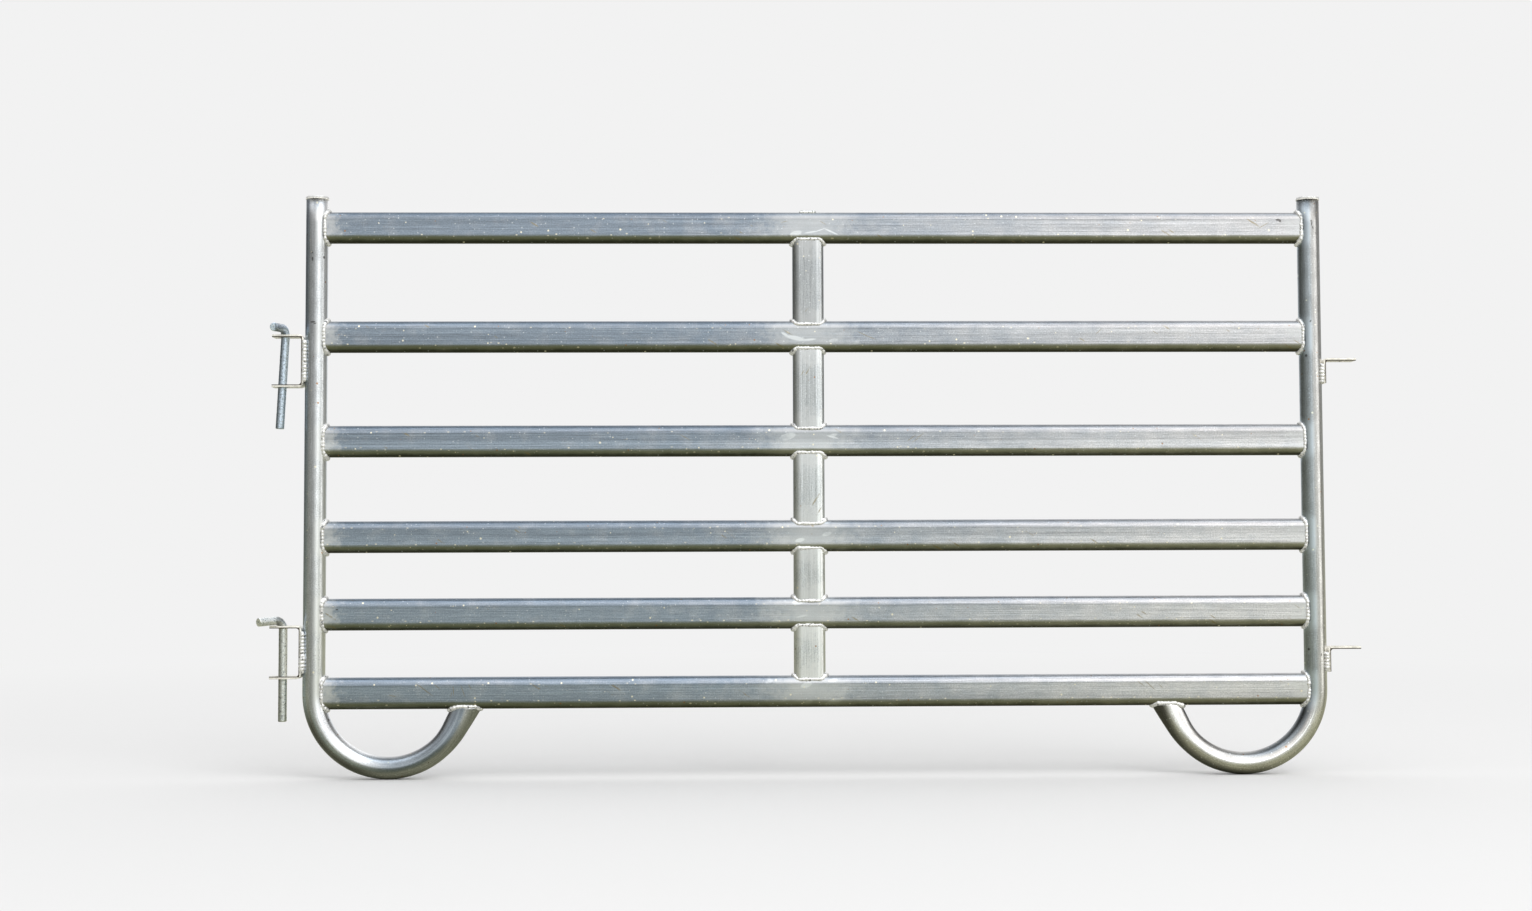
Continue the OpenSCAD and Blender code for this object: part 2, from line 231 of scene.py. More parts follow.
class SheepPanelSettings(bpy.types.PropertyGroup):
    """Everything that the sidebar offers."""

    zinc: PointerProperty(type=SheepPanelZinc)
    welds: PointerProperty(type=SheepPanelWelds)
    stage: PointerProperty(type=SheepPanelStage)


def settings():
    """The panel's own settings."""
    return bpy.context.scene.sheep_panel


# Finishes ---------------------------------------------------------------------------------------------------

# Settings and inputs that many nodes share
RGBA = {"out": 2, "data_type": "RGBA"}
TIMES = {**RGBA, "blend_type": "MULTIPLY"}
SMOOTH = {"interpolation_type": "SMOOTHSTEP"}
NOISE_SPAN = (0.3, 0.7)


def new_material(name):
    """An empty node material, and what adds a node to it."""
    material = bpy.data.materials.new(name)
    material.use_nodes = True
    material.node_tree.nodes.clear()
    return material, partial(add, material.node_tree)


def tube_space(node, middle, upright=False):
    """Object coordinates in millimetres from a tube's middle, turned so that X runs along the tube."""
    turn = Matrix.Rotation(math.radians(90), 3, "Y") if upright else Matrix.Identity(3)
    turned = {"Location": turn @ (-Vector(middle) / MM), "Rotation": turn.to_euler(), "Scale": (1 / MM,) * 3}
    return node("Mapping", {"Vector": node("TexCoord", out=3), **turned})


def unrolled(node, along, across, depth, flat, radius, seed):
    """A tube's skin laid flat, in millimetres: X along the tube, Y round it, and Z another for each tube.

    The tube has flats of half a width, or none, and rounded edges of a radius."""
    level = node("Clamp", (across, -flat, flat))
    past = node("Math.SUBTRACT", (across, level))
    deep = node("Math.ABSOLUTE", (depth,))
    angle = node("Math.ARCTAN2", (past, deep))
    around = node("Math.MULTIPLY_ADD", (angle, radius, level))
    start = node("Math.ADD", (along, 777.0 * seed))
    return node("CombineXYZ", (start, around, 40.0 * seed))


def zinc_patterns(node, skin):
    """What a zinc skin shows along a drawn tube, in millimetres: clouds, streaks, dashes and grain."""
    for long, wide, detail in ((38, 38, 4.0), (420, 2.6, 3.0), (42, 2.0, 2.0), (2.6, 2.6, 2.0)):
        scaled = node("VectorMath.MULTIPLY", (skin, (1 / long, 1 / wide, 1.0)))
        yield node("TexNoise", {"Vector": scaled, "Scale": 1.0, "Detail": detail, "Roughness": 0.6})


def specks(node, skin, spacing, size, share, stretch=1.0, turn=0.0):
    """Specks on a skin laid flat, of a radius in millimetres, one to a spacing, but only a share of them.

    They are round, or stretched and turned into scratches."""
    turned = node("VectorRotate", {"Vector": skin, "Angle": turn}, rotation_type="Z_AXIS")
    scale = (1 / (spacing * stretch), 1 / spacing, 0.0)
    scaled = node("VectorMath.MULTIPLY", (turned, scale))
    cell = node("TexVoronoi", {"Vector": scaled, "Scale": 1.0, "Randomness": 0.9}, voronoi_dimensions="2D")
    pick = node("SeparateColor", (cell.node.outputs["Color"],))
    here = node("Math.GREATER_THAN", (pick, 1 - share))
    widest = size / spacing
    wide = node("MapRange", (pick.node.outputs[1], 0, 1, 0.45 * widest, widest))
    gap = node("Math.SUBTRACT", (wide, cell))
    filled = node("MapRange", (gap, 0, 0.25 * widest), **SMOOTH)
    return node("Math.MULTIPLY", (here, filled))


def marked(node, along, across, marks):
    """Where the skin is under marks, each a middle, a half length, a half width and a turn in degrees."""
    covered = 0.0
    at = node("CombineXYZ", (along, across))
    for x, y, long, wide, turn in marks:
        off = node("VectorMath.SUBTRACT", (at, (x, y, 0)))
        off = node("VectorRotate", {"Vector": off, "Angle": math.radians(-turn)}, rotation_type="Z_AXIS")
        off = node("VectorMath.MULTIPLY", (off, (1 / long, 1 / wide, 0)))
        away = node("VectorMath.LENGTH", (off,), out=1)
        there = node("MapRange", (away, 1.0, 0.6))
        covered = node("Math.MAXIMUM", (covered, there))
    return covered


def tinted(node, colour, tints):
    """A colour darkened and lightened by patterns, each with the least and the most that it makes of it."""
    for pattern, least, most in tints:
        tint = node("MapRange", (pattern, *NOISE_SPAN, least, most))
        colour = node("Mix", {0: 1.0, 6: colour, 7: tint}, **TIMES)
    return colour


def shaded(node, colour, greys, scale):
    """A colour times greys at a scale, as painted shade and highlight."""
    greys = node("VectorMath.SCALE", {0: greys, "Scale": scale})
    return node("Mix", {0: 1.0, 6: colour, 7: greys}, **TIMES)


def layered(node, colour, layers):
    """A colour under layers, each given by where it is, its share there and its own colour."""
    for there, share, layer in layers:
        amount = node("Math.MULTIPLY", (there, share))
        colour = node("Mix", {0: amount, 6: colour, 7: layer}, **RGBA)
    return colour


def finish_steel(node, colour, rough, height, bump, metallic=1.0):
    """The metal's shader, with its height in millimetres as bump."""
    raised = node("Bump", {"Strength": bump, "Distance": MM, "Height": height})
    look = {"Base Color": colour, "Metallic": metallic, "Roughness": rough, "Normal": raised}
    node("OutputMaterial", (node("BsdfPrincipled", look),))


def oval_tube_zinc(name, middle, seed, shades, half_length, upright=False, scratches=(), pits=(), smears=()):
    """Hot-dip galvanised oval tube, drawn and then dipped: blue-grey zinc with streaks along the tube.

    The coat of zinc is half bright. Weather dulls it to grey in bands, welding clouds it beside the seams,
    and splash dries on its lower edge. The shades are painted shade and highlight: greys across the tube,
    from one rounded edge to the other. Along a rail a painted sheen lightens it towards the lugs, and its
    lower edge is darkened with an olive painted shade, nearly black beneath."""
    zinc = settings().zinc
    material, node = new_material(name)
    at = tube_space(node, middle, upright)
    along, depth, across = node("SeparateXYZ", (at,)).node.outputs
    skin = unrolled(node, along, across, depth, FLAT_HALF / MM, RAIL_HALF_T / MM, seed)
    cloud, streak, dash, grain = zinc_patterns(node, skin)

    # Painted sheen: a rail's zinc runs from dull to bright towards the lugs, as its reflection brightens
    # there; clouds vary the mix, on the stays too
    sheen_painted = node("MapRange", (along, -500, 1000), **SMOOTH)
    drift = node("MapRange", (cloud, 0, 1, -0.5, 0.5))
    drift = node("Math.ADD", (0.45 if upright else sheen_painted, drift), use_clamp=True)
    low, high = (zinc.stay, zinc.stay_worn) if upright else (zinc.dull, zinc.bright)
    colour = node("Mix", {0: drift, 6: low, 7: high}, **RGBA)
    colour = tinted(node, colour, ((streak, 0.78, 1.20), (dash, 0.86, 1.14), (grain, 0.80, 1.18)))

    # Clouded zinc beside the welds at the tube's ends, and on a rail beside the stays
    wisp = node("TexNoise", {"Vector": at, "Scale": 1 / 14, "Detail": 5.0, "Roughness": 0.65})
    ragged = node("MapRange", (wisp, 0.25, 0.75, -24, 24))
    reach = node("Math.ABSOLUTE", (along,))
    reach = node("Math.SUBTRACT", (reach, ragged))
    end = half_length / MM
    cloudy = node("MapRange", (reach, end - 44, end - 4, 0, 0.75), **SMOOTH)
    if upright:
        layers = [(cloudy, 1.0, zinc.heat)]
    else:
        from_stay = node("Math.SUBTRACT", (along, STAY_X / MM))
        from_stay = node("Math.ABSOLUTE", (from_stay,))
        from_stay = node("Math.MULTIPLY_ADD", (ragged, 1.6, from_stay))
        haze = node("MapRange", (from_stay, 120, 20, 0, 0.6), **SMOOTH)
        cloudy = node("Math.MAXIMUM", (cloudy, haze))
        wiped = specks(node, skin, 26, 7.5, 0.55, 2.4, math.radians(-14))
        layers = [(cloudy, 1.0, zinc.heat), (wiped, haze, zinc.nick)]
    colour = layered(node, colour, layers)

    # Painted shade and highlight across the tube, as greys; a rail's top edge is painted darker
    edge = node("MapRange", (across, -RAIL_HALF_H / MM, RAIL_HALF_H / MM))
    scale = 2.0
    if not upright:
        painted_top_shade = node("MapRange", (across, 9, 17), **SMOOTH)
        scale = node("Math.MULTIPLY_ADD", (painted_top_shade, -0.42, scale))
    colour = shaded(node, colour, node("ValToRGB", (edge,), stops=shades), scale)
    rough = node("MapRange", (streak, *NOISE_SPAN, 0.38, 0.29))

    # Painted shade: a rail's lower edge is darkened to olive and its underside nearly to black, as shade and
    # the mirrored ground; splash dries in rows where its edges turn
    layers = [(specks(node, skin, 27, 2.3, 0.15), 0.85, zinc.crust)]
    if not upright:
        sway = node("MapRange", (cloud, 0, 1, -2.5, 2.5))
        level = node("Math.ADD", (across, sway))
        painted_shade_film = node("MapRange", (level, -13.5, -21), **SMOOTH)
        under = node("MapRange", (level, -21, -28.5), **SMOOTH)
        rough = node("Math.MULTIPLY_ADD", (painted_shade_film, 0.0975, rough))
        rows = ((0.08, 0), (0.16, 1), (0.27, 1), (0.33, 0), (0.70, 0), (0.76, 0.6), (0.84, 0))
        rows = node("ValToRGB", (edge,), stops=rows)
        dried = node("Math.MULTIPLY", (specks(node, skin, 10, 1.8, 0.24, 1.5), rows))
        # Painted shade: olive on the lower edge, nearly black on the underside
        painted_underside_layers = [(painted_shade_film, 0.65, zinc.olive_painted_shade), (under, 0.85, linear("#26271A"))]
        layers = painted_underside_layers + layers + [(dried, 0.8, zinc.crust)]

    # Bright nicks, scratches through the dull film and a few spots of rust
    scrape = node("MapRange", (cloud, 0.50, 0.58))
    scratch = specks(node, skin, 13, 2.0, 0.28, 9.0, math.radians(32))
    scratch = node("Math.MULTIPLY", (scratch, scrape))
    scratch = node("Math.MAXIMUM", (scratch, marked(node, along, across, scratches)))
    layers += [
        (marked(node, along, across, smears), 0.6, zinc.nick),
        (specks(node, skin, 9, 1.5, 0.16), 0.45, zinc.nick),
        (scratch, 0.65, zinc.scratch),
        (specks(node, skin, 60, 2.0, 0.35), 0.8, zinc.rust),
        (marked(node, along, across, pits), 0.8, zinc.pit),
    ]
    colour = layered(node, colour, layers)
    height = node("Math.MULTIPLY_ADD", (grain, 0.6, streak))
    height = node("Math.MULTIPLY", (height, 0.26))
    finish_steel(node, colour, rough, height, 0.35)
    return material


def round_tube_zinc(name, side, seed, base, shades, bend_shades, end_shades, rise, pits):
    """Hot-dip galvanised round tube: brighter zinc than the rails', clouded and outlined round each weld.

    The patterns follow the tube down the post and round its foot. The shades are greys across the tube, from
    the rails' side to the outer side: of the post, of the bend's start and of its end. The rise is the greys
    up the post."""
    zinc = settings().zinc
    material, node = new_material(name)
    at = tube_space(node, (side * (POST_X - SKID_R), 0, SKID_Z), True)
    height_up, depth, aside = node("SeparateXYZ", (at,)).node.outputs
    outward = node("Math.MULTIPLY", (aside, -side))

    # Along the tube and across it: straight above the bend, and round its middle below
    below = node("Math.MINIMUM", (height_up, 0.0))
    above = node("Math.MAXIMUM", (height_up, 0.0))
    ring = node("VectorMath.LENGTH", (node("CombineXYZ", (outward, below)),), out=1)
    across = node("Math.SUBTRACT", (ring, SKID_R / MM))
    swing = node("Math.ARCTAN2", (below, outward))
    along = node("Math.MULTIPLY_ADD", (swing, SKID_R / MM, above))
    skin = unrolled(node, along, across, depth, 0.0, POST_R / MM, seed)
    cloud, streak, dash, grain = zinc_patterns(node, skin)
    tints = ((cloud, 0.86, 1.10), (streak, 0.88, 1.08), (dash, 0.86, 1.12), (grain, 0.78, 1.18))
    colour = tinted(node, base, tints)

    # Distance from the outline of the nearest rail's end, on the side that faces the rails
    nearest = None
    for z in RAIL_Z:
        off = node("Math.SUBTRACT", (height_up, (z - SKID_Z) / MM))
        off = node("Math.ABSOLUTE", (off,))
        past = node("Math.SUBTRACT", (off, FLAT_HALF / MM))
        past = node("Math.MAXIMUM", (past, 0.0))
        apart = node("VectorMath.LENGTH", (node("CombineXYZ", (past, depth)),), out=1)
        apart = node("Math.SUBTRACT", (apart, RAIL_HALF_T / MM))
        nearest = node("Math.MINIMUM", (nearest, apart)) if nearest else apart
    facing = node("MapRange", (across, 4, -4), **SMOOTH)
    ragged = node("MapRange", (cloud, 0, 1, -7, 7))
    ragged = node("Math.ADD", (nearest, ragged))
    cloudy = node("MapRange", (ragged, 18, 5, 0, 0.8), **SMOOTH)

    # Painted shadow: the thin dark line at the weld's root, as shade in an undercut; and the tube's own seam
    # on the foot
    line = node("MapRange", (nearest, -2, 4))
    line = node("ValToRGB", (line,), stops=((0.15, 0), (0.38, 1), (0.5, 1), (0.75, 0)))
    line = node("Math.MULTIPLY", (line, facing))
    broken = node("MapRange", (cloud, 0.42, 0.56, 0, 0.75))
    foot = node("MapRange", (along, -20, -60, 0, 0.6))
    seam = node("MapRange", (across, -6, 0))
    seam = node("ValToRGB", (seam,), stops=((0.28, 0), (0.42, 1), (0.58, 1), (0.72, 0)))

    # Nicks, more of them on the foot, splash, rust and pits
    worn = node("Math.ADD", (foot, 0.4))
    pit = specks(node, skin, 80, 3.0, 0.3)
    pit = node("Math.MAXIMUM", (pit, marked(node, along, across, pits)))
    layers = (
        (cloudy, facing, zinc.heat),
        # The dark root line is a painted shadow
        (line, broken, linear("#3C3E40")),
        (seam, foot, zinc.seam),
        (specks(node, skin, 8, 1.5, 0.25), worn, zinc.nick),
        (specks(node, skin, 24, 2.3, 0.22), 0.85, zinc.crust),
        (specks(node, skin, 46, 2.4, 0.35), 0.8, zinc.rust),
        (pit, 0.8, zinc.pit),
    )
    colour = layered(node, colour, layers)

    # Painted shade and highlight: greys across the tube, blended round the bend, times greys up the post
    over = node("MapRange", (across, -POST_R / MM, POST_R / MM))
    greys = node("ValToRGB", (over,), stops=shades)
    for start, end, turned_greys in ((0.0, -0.45, bend_shades), (-1.05, -1.65, end_shades)):
        turned = node("MapRange", (swing, start, end), **SMOOTH)
        greys = node("Mix", {0: turned, 6: greys, 7: node("ValToRGB", (over,), stops=turned_greys)}, **RGBA)
    risen = node("MapRange", (above, 0, (POST_TOP - SKID_Z) / MM))
    greys = node("Mix", {0: 1.0, 6: greys, 7: node("ValToRGB", (risen,), stops=rise)}, **TIMES)
    colour = shaded(node, colour, greys, 4.0)
    rough = node("MapRange", (cloud, *NOISE_SPAN, 0.36, 0.28))
    finish_steel(node, colour, rough, node("Math.MULTIPLY", (grain, 0.2)), 0.35)
    return material


def thick_zinc(name, base, lump, low, high, stain, stain_share, bump=0.6, metallic=1.0, fold=None, rod=None):
    """Zinc left thick and uneven by the dip, on cut bar and beads: bright lumps with stains in the hollows.

    Where the zinc is thick it has gone chalky, so it is less of a mirror than the tubes. Its roughness lies
    between low and high. A bar folded from a web is darkened near its edges with painted shade in a grimy
    brown, most on its inner faces. The fold is given as the web's inner face, the side that the web lies on,
    the level of the flanges and half of the space between two of them, or 0 for one flange above. A rod,
    given as where it stands at no height and its lean, has painted shade and highlight across it, lightest
    on its right flank and on its handle."""
    zinc = settings().zinc
    material, node = new_material(name)
    at = tube_space(node, (0, 0, 0))
    x, y, z = node("SeparateXYZ", (at,)).node.outputs
    blot, grain, fleck = (
        node("TexNoise", {"Vector": at, "Scale": 1 / size, "Detail": detail})
        for size, detail in ((lump, 3.0), (1.8, 2.0), (4.2, 1.0))
    )
    colour = tinted(node, base, ((blot, 0.84, 1.10), (grain, 0.88, 1.08), (fleck, 0.88, 1.06)))
    hollow = node("MapRange", (blot, stain_share, stain_share - 0.07), **SMOOTH)
    orange = node("MapRange", (fleck, 0.71, 0.76))
    layers = [(hollow, 0.85, stain), (orange, 0.5, zinc.rust)]
    # Painted shade: a bar's edges darkened on its inner faces and, less, on its outer ones
    if fold:
        web, toward, level, half = fold
        into_web = node("Math.MULTIPLY_ADD", (x, toward, -toward * web))
        into_flange = node("Math.SUBTRACT", (z, level))
        if half:
            into_flange = node("Math.ABSOLUTE", (into_flange,))
            into_flange = node("Math.SUBTRACT", (into_flange, half))
        deep = node("Math.MAXIMUM", (into_web, into_flange))
        deep = node("MapRange", (deep, 0, BAR_T / MM))
        dark = ((0.0, 1.0), (0.32, 0.9), (0.42, 0.0), (0.9, 0.0), (0.97, 0.6), (1.0, 0.6))
        side = BAR_HALF_W / MM
        to_edge = node("Math.ABSOLUTE", (y,))
        to_edge = node("MapRange", (to_edge, side - 4, side - 1.5))
        layers.append((node("ValToRGB", (deep,), stops=dark), to_edge, linear("#40382B")))
    colour = layered(node, colour, layers)
    # Painted shade and highlight across a rod, lighter on its right flank
    if rod:
        start, lean = rod
        aside = node("Math.MULTIPLY_ADD", (z, -math.tan(lean), x))
        aside = node("MapRange", (aside, start - 16, start + 16))
        greys = ((0.0, 0.84), (0.2, 0.8), (0.27, 0.36), (0.42, 0.42), (0.52, 0.54), (0.66, 0.78), (1.0, 0.76))
        colour = shaded(node, colour, node("ValToRGB", (aside,), stops=greys), 2.0)
    rough = node("MapRange", (blot, *NOISE_SPAN, high, low))
    height = node("Math.MULTIPLY_ADD", (grain, 0.4, blot))
    height = node("Math.MULTIPLY", (height, 0.5))
    finish_steel(node, colour, rough, height, bump, metallic)
    return material


# Meshes -----------------------------------------------------------------------------------------------------


def wear(node, material):
    """Gives a CAD node its finish."""
    slots = frame["nodes"][node].data.materials
    for i in range(len(slots)):
        slots[i] = material


def place_piece(name, mesh, material, body, replaced):
    """Links a finished mesh as a piece that rides on a body in place of CAD nodes."""
    piece = bpy.data.objects.new(name, mesh)
    mesh.materials.clear()
    mesh.materials.append(material)
    bpy.context.scene.collection.objects.link(piece)
    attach(piece, body)
    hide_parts(*replaced)


def sweep(name, runs, sides):
    """Round sections swept along runs of (point, radius) pairs, each closed on itself or not, as one mesh."""
    curve = bpy.data.curves.new(name, "CURVE")
    curve.dimensions = "3D"
    curve.bevel_depth = 1.0
    curve.bevel_resolution = sides
    curve.use_fill_caps = True
    for pairs, closed in runs:
        spline = curve.splines.new("POLY")
        spline.points.add(len(pairs) - 1)
        for point, (at, radius) in zip(spline.points, pairs):
            point.co = (*at, 1)
            point.radius = radius
        spline.use_cyclic_u = closed
    holder = bpy.data.objects.new(name, curve)
    bpy.context.scene.collection.objects.link(holder)
    seen = holder.evaluated_get(bpy.context.evaluated_depsgraph_get())
    mesh = bpy.data.meshes.new_from_object(seen)
    bpy.data.objects.remove(holder)
    bpy.data.curves.remove(curve)
    return mesh


def settle(shape, mesh):
    """Writes a shape into a mesh, with its faces turned outwards and smooth, and lets the shape go."""
    bmesh.ops.recalc_face_normals(shape, faces=shape.faces)
    for face in shape.faces:
        face.smooth = True
    shape.to_mesh(mesh)
    shape.free()


def roughen(mesh, amount, size):
    """Closes a mesh, moves its skin in and out by noise, and turns its faces outwards."""
    shape = bmesh.new()
    shape.from_mesh(mesh)
    bmesh.ops.remove_doubles(shape, verts=shape.verts, dist=1e-6)
    shape.normal_update()
    shifts = [v.normal * amount * noise.fractal(v.co / size, 0.7, 2.0, 3) for v in shape.verts]
    for v, shift in zip(shape.verts, shifts):
        v.co += shift
    settle(shape, mesh)


def uneven(distance, seed):
    """How much thicker or thinner a bead is at a distance along it, by ripples and by the hand's lumps."""
    welds = settings().welds
    ripple = RIPPLE_SHARE * math.sin(2 * math.pi * distance / welds.ripple)
    lump = LUMP_SHARE * noise.noise(Vector((distance / welds.lump, seed * 7.3, 0.5)))
    return 1 + ripple + lump


def oval_outline(step):
    """Points round the oval's outline as (across thickness, across height, outward normal in both)."""
    points = []
    turns = max(8, round(math.pi * RAIL_HALF_T / step))
    sides = max(6, round(2 * FLAT_HALF / step))
    for start, lift in ((0, 1), (math.pi, -1)):
        for k in range(turns):
            angle = start + math.pi * k / turns
            c, s = math.cos(angle), math.sin(angle)
            points.append((RAIL_HALF_T * c, lift * FLAT_HALF + RAIL_HALF_T * s, c, s))
        for k in range(sides):
            points.append((-lift * RAIL_HALF_T, lift * FLAT_HALF * (1 - 2 * k / sides), -lift, 0))
    return points


def seam_point(seam, one, other, radius, onto=Vector()):
    """Middle of a bead that fills a seam between two surfaces, given their normals, and its radius there.

    It stands out in a square corner. Where the two surfaces are nearly level it is thinner and lies flatter,
    and spreads onto one of them."""
    level = min(1.0, max(0.0, one.dot(other)) / 0.71)
    out = (one + other).normalized()
    return seam + out * (1.5 - 2.1 * level) * MM + onto * level, radius * (1.12 - 0.30 * level)


def along_run(points, closed, seed):
    """A run with the bead's uneven radius, from (point, radius) pairs, closed on itself or not."""
    run, distance, before = [], 0.0, None
    for at, radius in points:
        distance += (at - before).length if before is not None else 0
        before = at
        run.append((at, radius * uneven(distance, seed)))
    return run, closed


def rail_end_run(i, side):
    """Bead round the end of a rail, on the saddle curve where it meets the upright."""
    welds = settings().welds
    pairs = []
    for y, up, ny, nz in oval_outline(welds.step):
        z = RAIL_Z[i] + up
        half = math.sqrt(POST_R**2 - y**2)
        if z < SKID_Z:
            ring = SKID_R - half
            x = POST_X - SKID_R + math.sqrt(ring**2 - (SKID_Z - z) ** 2)
        else:
            x = POST_X - half
        post = Vector((-side * half, y, 0)).normalized()
        rail = Vector((0, ny, nz))
        onto = Vector((-side * POST_SPREAD, 0, 0))
        pairs.append(seam_point(Vector((side * x, y, z)), post, rail, welds.radius, onto))
    return along_run(pairs, True, i + 10 * side)


def stay_end_run(i, head):
    """Bead round the end of a stay on rail i's rounded edge: of its head under it or of its foot on it."""
    welds = settings().welds
    way = -1 if head else 1
    pairs = []
    for y, x, ny, nx in oval_outline(welds.step):
        hump = math.sqrt(max(0.0, RAIL_HALF_T**2 - y**2))
        lap = max(FLAT_HALF + hump, RAIL_HALF_H - STAY_LAP)
        seam = Vector((STAY_X + x, y * 0.96, RAIL_Z[i] + way * lap))
        stay = Vector((nx, ny, 0))
        rail = Vector((0, y / RAIL_HALF_T, way * hump / RAIL_HALF_T)).normalized()
        pairs.append(seam_point(seam, stay, rail, welds.radius))
    return along_run(pairs, True, 3.7 * i + (40 if head else 0))


def skid_end_run(side):
    """Bead round a foot's squashed end, under the bottom rail."""
    welds = settings().welds
    lean = Vector((math.sin(SKID_LEAN), 0, math.cos(SKID_LEAN)))
    inward = Vector((math.cos(SKID_LEAN), 0, -math.sin(SKID_LEAN)))
    start = Vector((-POST_X + SKID_R, 0, SKID_Z)) + SKID_R * inward
    cut = RAIL_Z[0] - RAIL_HALF_H + SKID_LAP
    count = 96
    pairs = []
    for k in range(count):
        angle = 2 * math.pi * k / count
        c, s = math.cos(angle), math.sin(angle)
        off = inward * SKID_END_HALF_W * c + Vector((0, SKID_END_HALF_T * s, 0))
        normal = (inward * c / SKID_END_HALF_W + Vector((0, s / SKID_END_HALF_T, 0))).normalized()
        y = 0.86 * off.y
        rail_under = RAIL_Z[0] - FLAT_HALF - math.sqrt(RAIL_HALF_T**2 - y**2)
        target = max(rail_under, cut - 5 * MM) if abs(s) < 0.6 else min(rail_under, cut + 0.5 * MM)
        rail = Vector((0, y / RAIL_HALF_T, -math.sqrt(1 - (y / RAIL_HALF_T) ** 2)))
        wall = start + Vector((off.x, y, off.z))
        seam = wall + lean * ((target - wall.z) / lean.z)
        at, radius = seam_point(seam, normal, rail, welds.heavy)
        pairs.append((Vector((-side * at.x, at.y, at.z)), radius))
    return along_run(pairs, True, 70 + side)


def upright_run(x, y, low, high, seed):
    """Upright bead beside a bracket's or lug's web, thinning to round ends."""
    welds = settings().welds
    count = round((high - low) / welds.step)
    pairs = []
    for k in range(count + 1):
        t = k / count
        near_end = min(t, 1 - t) * (high - low)
        rounded = math.sqrt(max(0.02, 1 - max(0.0, 1 - near_end / welds.heavy) ** 2))
        drift = 0.8 * MM * noise.noise(Vector((9 * t, seed, 2)))
        pairs.append((Vector((x + drift, y, low + t * (high - low))), welds.heavy * rounded))
    return along_run(pairs, False, seed)


def sharp_bar(node):
    """A CAD flat bar's mesh with its doubles merged and its cut edges slightly rounded."""
    mesh = frame["nodes"][node].data.copy()
    mesh.name = node + "_rounded"
    shape = bmesh.new()
    shape.from_mesh(mesh)
    bmesh.ops.remove_doubles(shape, verts=shape.verts, dist=1e-6)
    bmesh.ops.dissolve_limit(shape, angle_limit=math.radians(1), verts=shape.verts, edges=shape.edges)
    edges = [e for e in shape.edges if e.is_manifold and e.calc_face_angle() > math.radians(40)]
    worn = {"offset": 0.7 * MM, "offset_type": "OFFSET", "affect": "EDGES", "segments": 2, "profile": 0.5}
    bmesh.ops.bevel(shape, geom=edges, material=-1, clamp_overlap=True, **worn)
    bmesh.ops.triangulate(shape, faces=shape.faces)
    settle(shape, mesh)
    mesh.set_sharp_from_angle(angle=math.radians(35))
    return mesh


def pin_run(node, lean, turn):
    """Middle line of a drop pin from its shank's end to its handle's, with chamfered ends."""
    up = Vector((math.sin(lean), 0, math.cos(lean)))
    ahead = Matrix.Rotation(lean, 3, "Y") @ Vector((-math.sin(turn), -math.cos(turn), 0))
    blunt = PIN_R - PIN_CHAMFER
    end_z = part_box(node)[0][2] + blunt * math.sin(lean)
    push = -(COUPLING_Z[1] - end_z) * math.tan(lean) if lean else PIN_PUSH
    end = Vector((push - COUPLING_X, 0, end_z))
    bend = end + up * PIN_SHANK

    def on_bend(angle):
        """A place on the bend between the shank and the handle."""
        return bend + ahead * PIN_BEND_R * (1 - math.cos(angle)) + up * PIN_BEND_R * math.sin(angle)

    points = [end + up * PIN_SHANK * k / 70 for k in range(70)]
    points += [on_bend(PIN_SWEEP * k / 24) for k in range(24)]
    way = ahead * math.sin(PIN_SWEEP) + up * math.cos(PIN_SWEEP)
    straight = (PIN_HANDLE - PIN_BEND_R * (1 - math.cos(PIN_SWEEP))) / math.sin(PIN_SWEEP)
    points += [on_bend(PIN_SWEEP) + way * straight * k / 16 for k in range(17)]

    # Each end closes in three small steps inside its chamfer
    tip = ((0.0, 0.3 * PIN_R), (0.05 * MM, 0.6 * PIN_R), (0.1 * MM, blunt), (PIN_CHAMFER, PIN_R))
    first = [(points[0] + up * deep, radius) for deep, radius in tip]
    last = [(points[-1] - way * deep, radius) for deep, radius in reversed(tip)]
    return first + [(p, PIN_R) for p in points[1:-1]] + last, False


# Shades and marks of the tubes ------------------------------------------------------------------------------

# Painted shade and highlight: each rail's greys at four places from its lower edge to its upper one, from the
# lowest rail up
RAIL_PAINTED_SHADES = (
    (0.50, 0.57, 0.61, 0.60),
    (0.56, 0.59, 0.56, 0.56),
    (0.57, 0.58, 0.46, 0.52),
    (0.57, 0.58, 0.43, 0.50),
    (0.42, 0.43, 0.44, 0.52),
    (0.46, 0.44, 0.43, 0.46),
)
RAIL_TONE_PLACES = (0.233, 0.42, 0.56, 0.767)

# The largest marks, each a middle, a half length, a half width in millimetres and a turn in degrees
RAIL_SCRATCHES = {
    "rail_1": (
        *((-740, 7, 24, 1.1, -37), (-716, 12, 9, 0.8, -40), (-686, 5, 11, 1.0, -86), (-668, 4, 14, 0.8, -70)),
        *((-690, -2, 6, 0.7, 80), (-655, 12, 7, 0.7, -60), (-800, -4, 9, 0.9, -12), (629, 9, 17, 1.0, -42)),
        *((612, 12, 10, 0.8, -38), (650, 7, 7, 0.7, -45)),
    ),
    "rail_4": ((-250, 6, 14, 0.8, -30), (180, 4, 12, 0.8, 35), (188, 0, 9, 0.7, 33), (196, 8, 10, 0.7, 30)),
    "rail_5": ((90, 3, 15, 0.8, -25), (104, -3, 12, 0.8, -22), (540, 8, 10, 0.7, 40)),
    "rail_6": ((860, 3, 14, 0.8, 30), (-60, 10, 8, 0.7, 15)),
}
